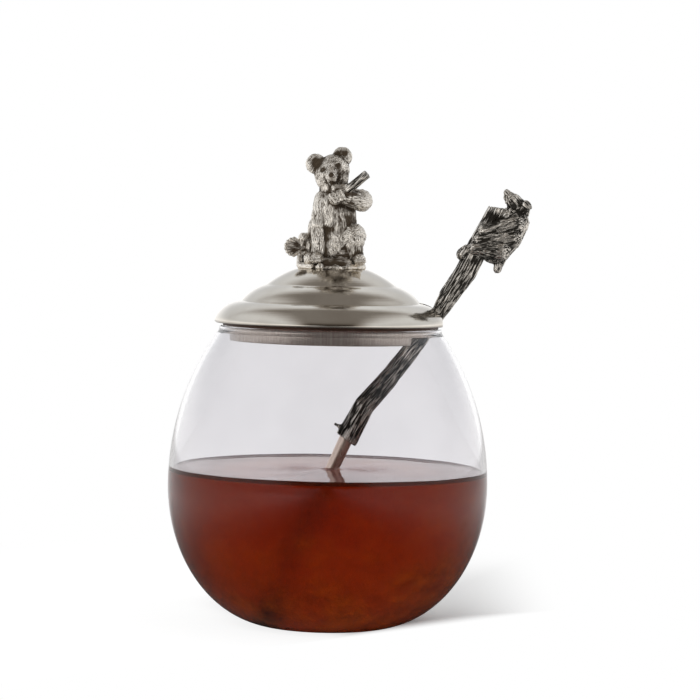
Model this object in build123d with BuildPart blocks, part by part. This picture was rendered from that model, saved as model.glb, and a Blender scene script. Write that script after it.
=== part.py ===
from build123d import *
from math import asin, atan2, cos, degrees, radians, sin, sqrt, tan
import os

# Honey pot: a round blown glass jar, a stepped pewter lid that lifts off, and a spoon that
# stands in a notch of the lid. A bear sits on the lid, and a cub climbs the spoon's branch.
# Millimetres, +Z up. The origin is the middle of the flat that the jar stands on.

# ---- Glass jar: one thin shell, a quarter ellipse below the belly and an arc above it
jar_radius = 57.0            # outside, at the belly
belly_height = 50.6
jar_height = 106.5           # top of the lip
mouth_radius = 39.7          # outside, just under the lip
base_radius = 17.8           # the flat that it stands on
jar_wall = 1.6
jar_floor = 3.0
lip_bead_radius = 0.95       # the fire-polished lip is a little thicker than the wall

# ---- Honey
honey_level = 56.0
honey_film = 0.15            # between the honey and the glass
honey_gap = 0.3              # between the honey and the spoon

# ---- Lid: a rolled rim and three convex steps, up to a flat pad for the figure
seat_gap = 0.15              # lid above the lip
flange_thickness = 1.25      # the collar's flange lies on the lip, under the rim
flange_radius = 38.4
rim_radius = 41.3
rim_edge_radius = 0.8        # half-round edge of the rim
rim_land = 4.0               # flat under the rim that the flange is soldered to
rim_hollow = 2.4             # the hollow's upright side, above the rim's edge
first_crease_radius = 32.0
second_crease_radius = 23.1
pad_radius = 13.2
first_step_rise = 6.3        # from the top of the rim's edge to the first crease
second_step_rise = 5.9
third_step_rise = 5.7
first_bulge = 1.5            # how far the lowest step swells from its chord
second_bulge = 0.8
third_bulge = 0.45
lid_wall = 1.8

# ---- Collar: the ring that keeps the lid in the mouth, in two bands
collar_clearance = 0.65      # between the collar and the inside of the lip
collar_wall = 2.6            # at the upper band
upper_band_height = 2.2
lower_band_height = 3.1
lower_band_inset = 1.4
relief_top_half_width = 21.0      # the lower band stops well clear of the spoon
relief_bottom_half_width = 24.0

# ---- Notch through the lid for the spoon, on the +X side
notch_half_width = 6.0
notch_flare_radius = 5.0     # round corners where the notch opens through the rim
notch_reach = 7.6            # from the spoon's axis at the rim's level to the notch's end

# ---- Figure on the lid
ground_radius = 12.6
ground_height = 1.8
ground_edge = 1.2            # slope of the ground's edge
ground_edge_height = 1.1
root_height = 11.0           # the root that stands at the ground's -X side
root_radius = 2.0
root_top_radius = 1.8
root_inset = 0.4             # its foot overhangs the ground's edge by this much
root_top_inset = 1.5
root_depth = 1.5             # behind the ground's middle
leaf_radius = 3.2
leaf_thickness = 2.0
leaf_height = 7.6
leaf_overhang = 1.0          # its middle beyond the ground's edge
leaf_depth = 0.8
bear_height = 41.7           # above the ground
stick_radius = 1.25
stick_length = 13.2
figure_gap = 0.1             # solder gap between two castings
screw_radius = 2.0
screw_head_radius = 3.6
screw_head_height = 2.2
screw_head_round = 1.0
screw_slot_width = 1.0
screw_slot_depth = 1.1
washer_radius = 5.4
washer_thickness = 0.8
screw_bite = 4.5             # how far the screw goes up into the bear
hole_clearance = 0.05

# ---- Spoon: the handle is a branch that leans on the lip
handle_lean = 35.0           # degrees from upright
branch_radius = 2.7          # where the branch crosses the lip
lip_gap = 0.55               # branch to glass
branch_outside = 47.0        # from the lip's level to the branch's top end
knot_share = 0.61            # how far up that stretch the knot is
knot_radius = 2.4
splinter_height = 1.5        # above the branch's foot
splinter_reach = 3.6
splinter_rise = 2.0
splinter_root_radius = 1.2
splinter_tip_radius = 0.5
rod_showing = 11.0           # bare rod between the honey and the branch
rod_radius = 2.6
neck_radius = 2.0
neck_root_radius = 1.1       # where the neck runs into the bowl's wall
neck_sink = 1.4              # below the bowl's rim
neck_run = 1.8               # how far the neck runs on into the bowl
rod_lean = 24.0
socket_depth = 7.0
bowl_lean = 32.0
bowl_length = 29.0           # of the bowl's rim
bowl_half_width = 10.7
bowl_depth = 6.0
bowl_taper = 3.0             # the bowl's tip is rounder than its neck end by this much
bowl_wall = 1.2
tip_height = 2.5             # the bowl's tip above the jar's floor
cub_length = 29.0

os.makedirs("parts", exist_ok=True)


def limb(start, end, start_radius, end_radius, mode=Mode.ADD):
    """Add a tapered bar with round ends to the piece being made."""
    reach = end - start
    taper = degrees(asin((start_radius - end_radius) / reach.length))
    across = Plane(origin=start, z_dir=reach).x_dir
    with BuildSketch(Plane(origin=start, x_dir=reach, z_dir=across)) as half:
        with BuildLine():
            near = CenterArc((0, 0), start_radius, 180, -90 - taper)
            far = CenterArc((reach.length, 0), end_radius, 90 - taper, taper - 90)
            Line(near @ 1, far @ 0)
            Line(far @ 1, near @ 0)
        make_face()
    revolve(half.sketch, axis=Axis(start, reach), mode=mode)


def disc(centre, radius, thickness, facing):
    """Add a round plate to the piece being made."""
    with BuildSketch(Plane(origin=centre, z_dir=facing)) as face:
        Circle(radius)
    extrude(face.sketch, amount=thickness / 2, both=True)


def sketch_planes(points):
    """Planes square to a line of points in the XZ plane, one at each point."""
    planes = []
    for i, point in enumerate(points):
        before = points[max(i - 1, 0)]
        after = points[min(i + 1, len(points) - 1)]
        planes.append(Plane(origin=point, z_dir=after - before))
    return planes


# ==== Glass jar ====
lip_ring_height = jar_height - lip_bead_radius
lip_ring_radius = mouth_radius - jar_wall / 2

with BuildPart() as glass_jar:
    with BuildSketch(Plane.XZ):
        with BuildLine():
            Line((0, jar_floor), (0, 0))
            Line((0, 0), (base_radius, 0))
            EllipticalCenterArc(
                (base_radius, belly_height),
                jar_radius - base_radius,
                belly_height,
                start_angle=-90,
                arc_size=90,
            )
            outside = TangentArc(
                (jar_radius, belly_height), (mouth_radius, lip_ring_height), tangent=(0, 1)
            )
            inside = TangentArc(
                (jar_radius - jar_wall, belly_height),
                (mouth_radius - jar_wall, lip_ring_height),
                tangent=(0, 1),
            )
            Line(outside @ 1, inside @ 1)
            EllipticalCenterArc(
                (base_radius, belly_height),
                jar_radius - jar_wall - base_radius,
                belly_height - jar_floor,
                start_angle=-90,
                arc_size=90,
            )
            Line((base_radius, jar_floor), (0, jar_floor))
        make_face()
    revolve(axis=Axis.Z)
    with BuildSketch(Plane.XZ):
        with Locations((lip_ring_radius, lip_ring_height)):
            Circle(lip_bead_radius)
    revolve(axis=Axis.Z)

glass_jar.part.label = "glass_jar"
export_step(glass_jar.part, "parts/glass_jar.step")

# ==== Where the spoon stands ====
# The handle's line touches the lip's bead on its inner side, but for the gap.
lean = radians(handle_lean)
up_handle = Vector(sin(lean), 0, cos(lean))
outward = Vector(cos(lean), 0, -sin(lean))
lip_ring_at_notch = Vector(lip_ring_radius, 0, lip_ring_height)
crossing = lip_ring_at_notch - outward * (branch_radius + lip_bead_radius + lip_gap)


def on_handle(along, aside, sideways=0.0):
    """A point given along the handle's line, out from it and across it."""
    return crossing + up_handle * along + outward * aside + Vector(0, sideways, 0)


branch_inside = (crossing.Z - honey_level - rod_showing) / cos(lean)

# Each row: how far along its stretch, then in branch radii how far the branch strays from
# the line, and how thick it is. It never strays into the lip.
branch_below = [
    (-1.0, -0.15, 1.52),
    (-0.74, -0.78, 1.3),
    (-0.5, -0.33, 1.19),
    (-0.24, -0.15, 1.09),
]
branch_above = [
    (0.0, -0.04, 1.0),
    (0.2, -0.3, 1.15),
    (0.46, -0.81, 1.15),
    (0.74, -1.3, 1.22),
    (1.0, -2.0, 0.89),
]

branch_points = []
branch_radii = []
for share, stray, thickness in branch_below:
    branch_points.append(on_handle(share * branch_inside, stray * branch_radius))
    branch_radii.append(thickness * branch_radius)
for share, stray, thickness in branch_above:
    branch_points.append(on_handle(share * branch_outside, stray * branch_radius))
    branch_radii.append(thickness * branch_radius)
branch_planes = sketch_planes(branch_points)
branch_foot = branch_points[0]
branch_top = branch_points[-1]

# The rod goes down from the branch's foot, and the bowl's tip stands just above the floor.
rod_turn = radians(rod_lean)
bowl_turn = radians(bowl_lean)
down_rod = Vector(-sin(rod_turn), 0, -cos(rod_turn))
down_bowl = Vector(-sin(bowl_turn), 0, -cos(bowl_turn))
bowl_faces = Vector(-cos(bowl_turn), 0, sin(bowl_turn))
neck_height = jar_floor + tip_height + bowl_length * cos(bowl_turn)
rod_length = (branch_foot.Z - neck_height) / cos(rod_turn)
rod_top = branch_foot - down_rod * socket_depth
neck = branch_foot + down_rod * rod_length
neck_root = neck + down_bowl * neck_run - bowl_faces * neck_sink

# The bowl is the slice of an egg that has the stated rim and depth.
egg_radius = (bowl_half_width**2 + bowl_depth**2) / (2 * bowl_depth)
egg_tip_radius = egg_radius - bowl_taper
egg_height = egg_radius - bowl_depth
tip_reach = sqrt(egg_tip_radius**2 - egg_height**2)
egg_start = neck + down_bowl * bowl_half_width + bowl_faces * egg_height
egg_end = egg_start + down_bowl * (bowl_length - bowl_half_width - tip_reach)


def shank_shape(grow):
    """Rod and bowl in one piece, thicker all round by grow."""
    inset = bowl_wall + grow
    with BuildPart() as bowl:
        limb(egg_start, egg_end, egg_radius + grow, egg_tip_radius + grow)
        limb(egg_start, egg_end, egg_radius - inset, egg_tip_radius - inset, Mode.SUBTRACT)
        rim_plane = Plane(origin=neck + bowl_faces * grow, z_dir=bowl_faces)
        split(bisect_by=rim_plane, keep=Keep.BOTTOM)
    with BuildPart() as shank:
        with BuildSketch(Plane(origin=rod_top, z_dir=down_rod)) as rod_start:
            Circle(rod_radius + grow)
        with BuildSketch(Plane(origin=neck, z_dir=down_rod)) as rod_end:
            Circle(neck_radius + grow)
        loft([rod_start.sketch, rod_end.sketch])
        limb(neck, neck_root, neck_radius + grow, neck_root_radius + grow)
        add(bowl.part)
    return shank.part


# ==== Spoon shank ====
with BuildPart() as spoon_shank:
    add(shank_shape(0))

spoon_shank.part.label = "spoon_shank"
export_step(spoon_shank.part, "parts/spoon_shank.step")

# ==== Branch handle ====
# A knot stands out of its inner side, and a splinter out of its foot.
knot_middle = on_handle(knot_share * branch_outside, -2 * branch_radius)
splinter_root = branch_foot - outward * branch_radius + up_handle * splinter_height
splinter_tip = splinter_root - outward * splinter_reach + up_handle * splinter_rise

with BuildPart() as branch_handle:
    for plane, radius in zip(branch_planes, branch_radii):
        with BuildSketch(plane):
            Circle(radius)
    loft()
    with Locations(knot_middle):
        Sphere(knot_radius)
    limb(splinter_root, splinter_tip, splinter_root_radius, splinter_tip_radius)
    with BuildSketch(Plane(origin=branch_foot + down_rod * socket_depth, z_dir=-down_rod)):
        Circle(rod_radius + hole_clearance)
    extrude(amount=2 * socket_depth, mode=Mode.SUBTRACT)

branch_handle.part.label = "branch_handle"
export_step(branch_handle.part, "parts/branch_handle.step")

# ==== Climbing cub ====
# Each limb is set out from the branch's top end in hundredths of the cub's length: up the
# handle, out from it and sideways. The two ends come first and then their radii.
cub_limbs = {
    "back": ((-41, 25, 0), (2, 27.5, 0), 22.5, 23),
    "head": ((21, 21, 0), (25, 11, 0), 14.5, 13),
    "snout": ((25, 7, 0), (22.5, -1, 0), 9, 5),
    "near_foreleg": ((2, 17, -17), (-26, 3, -12.5), 8.5, 6.5),
    "far_foreleg": ((2, 17, 17), (-26, 3, 12.5), 8.5, 6.5),
    "near_hind_leg": ((-45, 28, -16), (-58, 7, -13), 10.5, 6.5),
    "far_hind_leg": ((-45, 28, 16), (-58, 7, 13), 10.5, 6.5),
    "hanging_foot": ((-50, 39, 0), (-58, 43, 0), 8.5, 6),
}
cub_ears = [(31, 25, -9), (31, 25, 9)]
cub_ear_radius = 6
cub_ear_thickness = 5
cub_hundredth = cub_length / 100


def on_cub(up, out, sideways):
    """A point of the cub, given in hundredths of its length from the branch's top end."""
    across = Vector(0, sideways, 0)
    return branch_top + (up_handle * up + outward * out + across) * cub_hundredth


with BuildPart() as climbing_cub:
    for start, end, start_radius, end_radius in cub_limbs.values():
        limb(on_cub(*start), on_cub(*end), start_radius * cub_hundredth, end_radius * cub_hundredth)
    for ear in cub_ears:
        disc(on_cub(*ear), cub_ear_radius * cub_hundredth, cub_ear_thickness * cub_hundredth, up_handle)
    for plane, radius in zip(branch_planes, branch_radii):
        with BuildSketch(plane):
            Circle(radius + figure_gap)
    loft(mode=Mode.SUBTRACT)
    with Locations(knot_middle):
        Sphere(knot_radius + figure_gap, mode=Mode.SUBTRACT)

climbing_cub.part.label = "climbing_cub"
export_step(climbing_cub.part, "parts/climbing_cub.step")

# ==== Honey ====
film = jar_wall + honey_film

with BuildPart() as honey:
    with BuildSketch(Plane.XZ):
        with BuildLine():
            Line((0, jar_height), (0, jar_floor + honey_film))
            Line((0, jar_floor + honey_film), (base_radius, jar_floor + honey_film))
            EllipticalCenterArc(
                (base_radius, belly_height),
                jar_radius - film - base_radius,
                belly_height - jar_floor - honey_film,
                start_angle=-90,
                arc_size=90,
            )
            bulge = TangentArc(
                (jar_radius - film, belly_height), (mouth_radius - film, jar_height), tangent=(0, 1)
            )
            Line(bulge @ 1, (0, jar_height))
        make_face()
    revolve(axis=Axis.Z)
    split(bisect_by=Plane.XY.offset(honey_level), keep=Keep.BOTTOM)
    add(shank_shape(honey_gap), mode=Mode.SUBTRACT)

honey.part.label = "honey"
export_step(honey.part, "parts/honey.step")

# ==== Lid ====
flange_bottom = jar_height + seat_gap
rim_bottom = flange_bottom + flange_thickness
edge_middle_radius = rim_radius - rim_edge_radius
edge_top = rim_bottom + 2 * rim_edge_radius
first_crease = edge_top + first_step_rise
second_crease = first_crease + second_step_rise
pad_height = second_crease + third_step_rise
land_radius = edge_middle_radius - rim_land

# The underside follows the outside, set in by the wall along the dome's mean slope.
dome_slope = atan2(pad_height - edge_top, edge_middle_radius - pad_radius)
set_in = lid_wall * sin(dome_slope)
set_down = lid_wall * cos(dome_slope)

# The notch runs in from +X to a round end, and its corners at the rim are rounded off.
axis_at_rim = crossing.X + (rim_bottom - crossing.Z) * tan(lean)
notch_end = axis_at_rim - notch_reach + notch_half_width
flare_y = notch_half_width + notch_flare_radius
flare_x = sqrt((rim_radius - notch_flare_radius) ** 2 - flare_y**2)
flare_mouth = flare_y * rim_radius / (rim_radius - notch_flare_radius)
beyond_rim = rim_radius + rim_edge_radius
edge_corner = (edge_middle_radius, edge_top)
first_corner = (first_crease_radius, first_crease)
second_corner = (second_crease_radius, second_crease)
pad_corner = (pad_radius, pad_height)

with BuildPart() as lid_dome:
    with BuildSketch(Plane.XZ):
        with BuildLine():
            Line((0, pad_height), (0, rim_bottom))
            Line((0, rim_bottom), (edge_middle_radius, rim_bottom))
            ThreePointArc(
                (edge_middle_radius, rim_bottom),
                (rim_radius, rim_bottom + rim_edge_radius),
                edge_corner,
            )
            SagittaArc(first_corner, edge_corner, first_bulge)
            SagittaArc(second_corner, first_corner, second_bulge)
            SagittaArc(pad_corner, second_corner, third_bulge)
            Line(pad_corner, (0, pad_height))
        make_face()
    revolve(axis=Axis.Z)
    with BuildSketch(Plane.XZ):
        with BuildLine():
            first_under = (first_crease_radius - set_in, first_crease - set_down)
            second_under = (second_crease_radius - set_in, second_crease - set_down)
            pad_under = (pad_radius - set_in, pad_height - lid_wall)
            Line((0, pad_height - lid_wall), (0, rim_bottom))
            Line((0, rim_bottom), (land_radius, rim_bottom))
            Line((land_radius, rim_bottom), (land_radius, edge_top + rim_hollow))
            SagittaArc(first_under, (land_radius, edge_top + rim_hollow), third_bulge)
            SagittaArc(second_under, first_under, second_bulge)
            SagittaArc(pad_under, second_under, third_bulge)
            Line(pad_under, (0, pad_height - lid_wall))
        make_face()
    revolve(axis=Axis.Z, mode=Mode.SUBTRACT)
    with BuildSketch(Plane.XY.offset(rim_bottom)):
        with Locations((notch_end, 0)):
            Circle(notch_half_width)
        with Locations(((notch_end + beyond_rim) / 2, 0)):
            Rectangle(beyond_rim - notch_end, 2 * notch_half_width)
        with Locations(((flare_x + beyond_rim) / 2, 0)):
            Rectangle(beyond_rim - flare_x, 2 * flare_mouth)
        with Locations((flare_x, flare_y), (flare_x, -flare_y)):
            Circle(notch_flare_radius, mode=Mode.SUBTRACT)
    extrude(amount=pad_height - rim_bottom, mode=Mode.SUBTRACT)
    with Locations(Plane.XY.offset(pad_height)):
        Hole(screw_radius + hole_clearance)

lid_dome.part.label = "lid_dome"
export_step(lid_dome.part, "parts/lid_dome.step")

# ==== Collar ====
collar_radius = lip_ring_radius - lip_bead_radius - collar_clearance
collar_bore = collar_radius - collar_wall
upper_band_bottom = flange_bottom - upper_band_height
lower_band_bottom = upper_band_bottom - lower_band_height

with BuildPart() as lid_collar:
    with BuildSketch(Plane.XZ):
        with BuildLine():
            Polyline(
                (collar_bore, rim_bottom),
                (flange_radius, rim_bottom),
                (flange_radius, flange_bottom),
                (collar_radius, flange_bottom),
                (collar_radius, upper_band_bottom),
                (collar_radius - lower_band_inset, upper_band_bottom),
                (collar_radius - lower_band_inset, lower_band_bottom),
                (collar_bore, lower_band_bottom),
                close=True,
            )
        make_face()
    revolve(axis=Axis.Z)
    with BuildSketch(Plane.XY.offset(upper_band_bottom)):
        with Locations((collar_bore, 0)):
            Rectangle(collar_bore, 2 * notch_half_width)
    extrude(amount=upper_band_height + flange_thickness, mode=Mode.SUBTRACT)
    with BuildSketch(Plane.YZ.offset(collar_bore / 2)):
        with BuildLine():
            Polyline(
                (-relief_bottom_half_width, lower_band_bottom),
                (relief_bottom_half_width, lower_band_bottom),
                (relief_top_half_width, upper_band_bottom),
                (-relief_top_half_width, upper_band_bottom),
                close=True,
            )
        make_face()
    extrude(amount=collar_radius, mode=Mode.SUBTRACT)

lid_collar.part.label = "lid_collar"
export_step(lid_collar.part, "parts/lid_collar.step")

# ==== Bear ====
# It sits facing -Y with its head tipped to its own right. Each limb is set out in hundredths
# of its height, from the middle of the ground: the two ends, then their radii.
bear_limbs = {
    "torso": ((2.4, 3, 20.2), (2.2, 0.5, 51.5), 20, 17.5),
    "shoulders": ((-6, 0, 55.5), (11, 0, 55.5), 8.7, 8.7),
    "head": ((-1.7, -3.6, 77.6), (1.7, -3.6, 78.8), 14.2, 14.2),
    "muzzle": ((0.5, -13, 75), (1.2, -20.5, 73.3), 7.7, 5),
    "right_foreleg": ((-9, -8.6, 55), (-11.6, -14.5, 8), 7.2, 6),
    "right_forepaw": ((-11.9, -15.5, 6.9), (-13.2, -22.5, 5.2), 6.7, 5),
    "left_upper_arm": ((12, -2, 57.5), (25, -8.6, 54.7), 8.6, 9.3),
    "left_forearm": ((24.5, -10.5, 53.7), (10.5, -19.7, 59), 7.7, 6),
    "left_forepaw": ((11, -19.7, 59.5), (5.8, -21, 61.9), 6.5, 5.5),
    "right_haunch": ((-10.8, 4.8, 24), (-10.8, 2.4, 32), 10.2, 10.2),
    "left_thigh": ((14.4, 1.2, 21.6), (18.2, -11, 25.4), 11.5, 10.3),
    "left_shin": ((19.7, -12.5, 19.2), (20.4, -10, 8.2), 7.2, 6),
    "left_foot": ((21, -8.5, 7), (23.5, -23, 5.9), 6.8, 5.7),
    "right_foot": ((-13.2, -2.4, 7), (-19, -15.6, 5.7), 6.8, 5.5),
    "tail": ((3.6, 19.7, 10.8), (3.6, 25.4, 13.2), 5.8, 4.8),
}
bear_ears = {"right_ear": ((-14.9, -2, 85.4), 7), "left_ear": ((9.4, -2, 93.7), 6.3)}
bear_ear_thickness = 6
ground_top = pad_height + ground_height
bear_hundredth = bear_height / 100
stick_direction = Vector(0.73, 0.1, 0.67).normalized()


def on_bear(across, depth, up):
    """A point of the bear, given in hundredths of its height from the middle of the ground."""
    return Vector(across, depth, up) * bear_hundredth + Vector(0, 0, ground_top)


stick_foot = on_bear(8, -20, 60)

with BuildPart() as bear:
    for start, end, start_radius, end_radius in bear_limbs.values():
        limb(
            on_bear(*start), on_bear(*end), start_radius * bear_hundredth, end_radius * bear_hundredth
        )
    for place, radius in bear_ears.values():
        disc(
            on_bear(*place), radius * bear_hundredth, bear_ear_thickness * bear_hundredth, (0, -1, 0)
        )
    with BuildSketch(Plane(origin=stick_foot, z_dir=stick_direction)):
        Circle(stick_radius + hole_clearance)
    extrude(amount=stick_length, mode=Mode.SUBTRACT)
    with BuildSketch(Plane.XY.offset(ground_top)):
        Circle(screw_radius + hole_clearance)
    extrude(amount=screw_bite + hole_clearance, mode=Mode.SUBTRACT)

bear.part.label = "bear"
export_step(bear.part, "parts/bear.step")

# ==== Stick in the bear's paw ====
with BuildPart() as bear_stick:
    with BuildSketch(Plane(origin=stick_foot, z_dir=stick_direction)):
        Circle(stick_radius)
    extrude(amount=stick_length)

bear_stick.part.label = "bear_stick"
export_step(bear_stick.part, "parts/bear_stick.step")

# ==== Ground under the bear, with a root and a fan of leaf on its -X side ====
root_foot = Vector(root_radius - root_inset - ground_radius, root_depth, pad_height)
root_top = Vector(root_top_inset - ground_radius, root_depth, pad_height + root_height)
leaf_middle = Vector(-ground_radius - leaf_overhang, leaf_depth, pad_height + leaf_height)
leaf_facing = (0.2, -1, 0.2)

with BuildPart() as finial_base:
    with BuildSketch(Plane.XY.offset(pad_height)):
        Circle(ground_radius)
    extrude(amount=ground_height)
    chamfer(finial_base.edges().sort_by(Axis.Z)[-1], ground_edge_height, ground_edge)
    limb(root_foot, root_top, root_radius, root_top_radius)
    disc(leaf_middle, leaf_radius, leaf_thickness, leaf_facing)
    with BuildSketch(Plane.XY.offset(pad_height)):
        Circle(2 * ground_radius)
    extrude(amount=-root_height, mode=Mode.SUBTRACT)
    with Locations(Plane.XY.offset(ground_top)):
        Hole(screw_radius + hole_clearance)

finial_base.part.label = "finial_base"
export_step(finial_base.part, "parts/finial_base.step")

# ==== Screw and washer under the lid, which hold the figure ====
pad_underside = pad_height - lid_wall
washer_bottom = pad_underside - washer_thickness

with BuildPart() as finial_washer:
    with BuildSketch(Plane.XY.offset(washer_bottom)):
        Circle(washer_radius)
        Circle(screw_radius + hole_clearance, mode=Mode.SUBTRACT)
    extrude(amount=washer_thickness)

finial_washer.part.label = "finial_washer"
export_step(finial_washer.part, "parts/finial_washer.step")

with BuildPart() as finial_screw:
    with BuildSketch(Plane.XY.offset(washer_bottom - screw_head_height)):
        Circle(screw_head_radius)
    extrude(amount=screw_head_height)
    fillet(finial_screw.edges().sort_by(Axis.Z)[0], screw_head_round)
    with BuildSketch(Plane.XY.offset(washer_bottom - screw_head_height)):
        Rectangle(3 * screw_head_radius, screw_slot_width)
    extrude(amount=screw_slot_depth, mode=Mode.SUBTRACT)
    with BuildSketch(Plane.XY.offset(washer_bottom)):
        Circle(screw_radius)
    extrude(amount=ground_top + screw_bite - washer_bottom)

finial_screw.part.label = "finial_screw"
export_step(finial_screw.part, "parts/finial_screw.step")
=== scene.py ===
# %% [markdown]
# # A honey pot with a bear on its lid
# The pot is a round blown glass jar, half full of honey. A stepped pewter lid lies on its lip,
# with a small cast bear on top, and a spoon stands in a notch of the lid. The spoon's handle is
# cast as a branch with a cub on it. Three things move apart here: the jar, the lid and the spoon.
# The exact solids are loaded first and stay where they are. Every new piece is then made in
# their place, in the same frame, so nothing has to be fitted afterwards.

# %% Load the solids
import math

import bpy
import numpy as np
from mathutils import Matrix, Vector


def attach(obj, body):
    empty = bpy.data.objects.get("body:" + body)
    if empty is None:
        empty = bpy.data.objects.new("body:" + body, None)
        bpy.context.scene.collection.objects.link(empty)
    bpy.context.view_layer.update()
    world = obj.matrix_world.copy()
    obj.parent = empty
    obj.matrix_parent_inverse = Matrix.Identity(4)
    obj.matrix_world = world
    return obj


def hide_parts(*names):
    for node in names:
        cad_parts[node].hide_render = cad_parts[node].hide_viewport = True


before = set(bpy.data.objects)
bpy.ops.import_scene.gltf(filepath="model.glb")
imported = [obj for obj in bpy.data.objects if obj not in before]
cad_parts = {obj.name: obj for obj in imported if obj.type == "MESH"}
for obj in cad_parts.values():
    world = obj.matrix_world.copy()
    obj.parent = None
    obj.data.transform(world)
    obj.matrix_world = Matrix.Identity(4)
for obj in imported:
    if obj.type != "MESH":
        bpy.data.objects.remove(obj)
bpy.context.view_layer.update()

MM = 0.001
print("nodes:", sorted(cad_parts))

# %% [markdown]
# ## Camera
# A long lens from a metre away keeps the jar's sides nearly parallel, so that its round outline
# reads true. The camera is a little above the table and tipped down slightly. It is also rolled
# by about a degree, so the jar leans a touch to its right.

# %% Camera
IMAGE_WIDTH = 700
FOCAL_PIXELS = 2895
SENSOR_WIDTH = 36
TIPPED_DEGREES = 2.75
ROLLED_RADIANS = 0.0203
eye = Vector((7.04, -1031.0, 148.26)) * MM
bpy.ops.object.select_all(action="DESELECT")
bpy.ops.object.camera_add(location=eye)
camera = bpy.context.object
camera.name = "camera"
tilt = Matrix.Rotation(math.radians(90 - TIPPED_DEGREES), 4, "X")
roll = Matrix.Rotation(ROLLED_RADIANS, 4, "Z")
camera.matrix_world = Matrix.Translation(eye) @ tilt @ roll
camera.data.sensor_width = SENSOR_WIDTH
camera.data.lens = FOCAL_PIXELS / IMAGE_WIDTH * SENSOR_WIDTH
camera.data.clip_start = 0.01
camera.data.clip_end = 20
bpy.context.scene.camera = camera
bpy.context.scene.view_settings.view_transform = "Standard"
print("lens in mm:", round(camera.data.lens, 1))

# %% [markdown]
# ## Sums on sockets
# A material is a graph of nodes, and most of its nodes are small sums. Written as nodes they
# are long and hard to read, so one class wraps an output socket and lets Python's own signs add
# the Math nodes. Its `node` method adds any other node, and its settings are set first, since
# they can change which sockets the node has.

# %% A wire
class Wire:
    """An output socket. A sum on wires adds its Math nodes to the same tree."""

    def __init__(self, tree, socket=None):
        self.tree = tree
        self.socket = socket

    def node(self, kind, settings=None, inputs=None, output=0):
        """Add a node: its type, its settings, then the values or wires of its inputs."""
        node = self.tree.nodes.new(kind)
        for name, value in (settings or {}).items():
            setattr(node, name, value)
        for key, value in (inputs or {}).items():
            if isinstance(value, Wire):
                self.tree.links.new(value.socket, node.inputs[key])
            else:
                node.inputs[key].default_value = value
        return Wire(self.tree, node.outputs[output] if node.outputs else None)

    def maths(self, operation, first, second):
        """A Math node on two wires or numbers."""
        return self.node("ShaderNodeMath", {"operation": operation}, {0: first, 1: second})

    def __add__(self, other):
        return self.maths("ADD", self, other)

    def __sub__(self, other):
        return self.maths("SUBTRACT", self, other)

    def __rsub__(self, other):
        return self.maths("SUBTRACT", other, self)

    def __mul__(self, other):
        return self.maths("MULTIPLY", self, other)

    def __pow__(self, other):
        return self.maths("POWER", self, other)

    __radd__ = __add__
    __rmul__ = __mul__

    def axis(self, number):
        """One number of a place or a direction: 0 for its X, 1 for its Y and 2 for its Z."""
        return self.node("ShaderNodeSeparateXYZ", {}, {0: self}, output=number)

    def size(self):
        """The value without its sign."""
        return self.maths("ABSOLUTE", self, 0.0)

    def larger(self, other):
        """The larger of this and another."""
        return self.maths("MAXIMUM", self, other)

    def between(self, low, high):
        """0 below low, 1 above high, and smooth in between."""
        settings = {"interpolation_type": "SMOOTHSTEP"}
        return self.node("ShaderNodeMapRange", settings, {0: self, 1: low, 2: high})

    def blend(self, dark, light):
        """The colour dark where this is 0, and light where it is 1."""
        inputs = {0: self, 6: dark, 7: light}
        return self.node("ShaderNodeMix", {"data_type": "RGBA"}, inputs, output=2)


def paint(red, green, blue):
    """A colour as the sockets take it."""
    return (red, green, blue, 1.0)


# %% [markdown]
# ## Finishes
# Metal and glass are one Principled shader each, and the honey is a mix of a few. A number that
# is the same all over goes straight onto the shader's own socket, and only what varies over the
# surface gets nodes.

# %% Start a finish
def start_finish(name):
    """A new material, and a wire on its empty tree."""
    finish = bpy.data.materials.new(name)
    finish.use_nodes = True
    finish.node_tree.nodes.clear()
    return finish, Wire(finish.node_tree)


def end_finish(wire, surface, volume=None):
    """Join a surface, and a volume if there is one, to the material's output."""
    inputs = {"Surface": surface}
    if volume:
        inputs["Volume"] = volume
    wire.node("ShaderNodeOutputMaterial", {}, inputs)
    print("finish with", len(wire.tree.nodes), "nodes")


def end_metal(wire, inputs, relief):
    """Finish with one shader of these inputs, raised by a relief for the bump."""
    inputs["Normal"] = wire.node("ShaderNodeBump", {}, relief)
    end_finish(wire, wire.node("ShaderNodeBsdfPrincipled", {}, inputs))


def object_place(wire):
    """The place on the piece, in metres from the frame's origin."""
    return wire.node("ShaderNodeTexCoord", {}, {}, output=3)


def noise(wire, place, scale, detail=2.0, stretch=(1, 1, 1)):
    """Noise from 0 to 1 on a place, scale being features to the metre."""
    at = wire.node("ShaderNodeMapping", {}, {"Vector": place, "Scale": stretch})
    inputs = {"Vector": at, "Scale": scale, "Detail": detail}
    return wire.node("ShaderNodeTexNoise", {}, inputs)


def give(piece, finish):
    """Make a finish the only one of a piece."""
    piece.data.materials.clear()
    piece.data.materials.append(finish)


# %% [markdown]
# ## The studio
# The pot stands on white, with a soft shadow at its foot. Large pale fields stand left, right
# and behind, and the side where the camera stands is dim. A polished lid shows it: it is bright
# at both sides and dark in the middle. So the world is white where it is looked at directly or
# straight through the glass, shows those fields in anything that mirrors it, and lights matt
# surfaces at one plain level. The bounces a ray has made tell these three apart.

# %% World
world = bpy.data.worlds.new("studio")
bpy.context.scene.world = world
world.use_nodes = True
world.node_tree.nodes.clear()
world.cycles.sampling_method = "NONE"
MATT_LEVEL = 0.6
DIM_SIDE = 0.05
CEILING = 0.18
FIELD = 0.72
FIELD_FOOT = 0.45
WHITE = paint(1, 1, 1)
DIFFUSE_BOUNCES = 10
MIRROR_BOUNCES = 11


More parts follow.
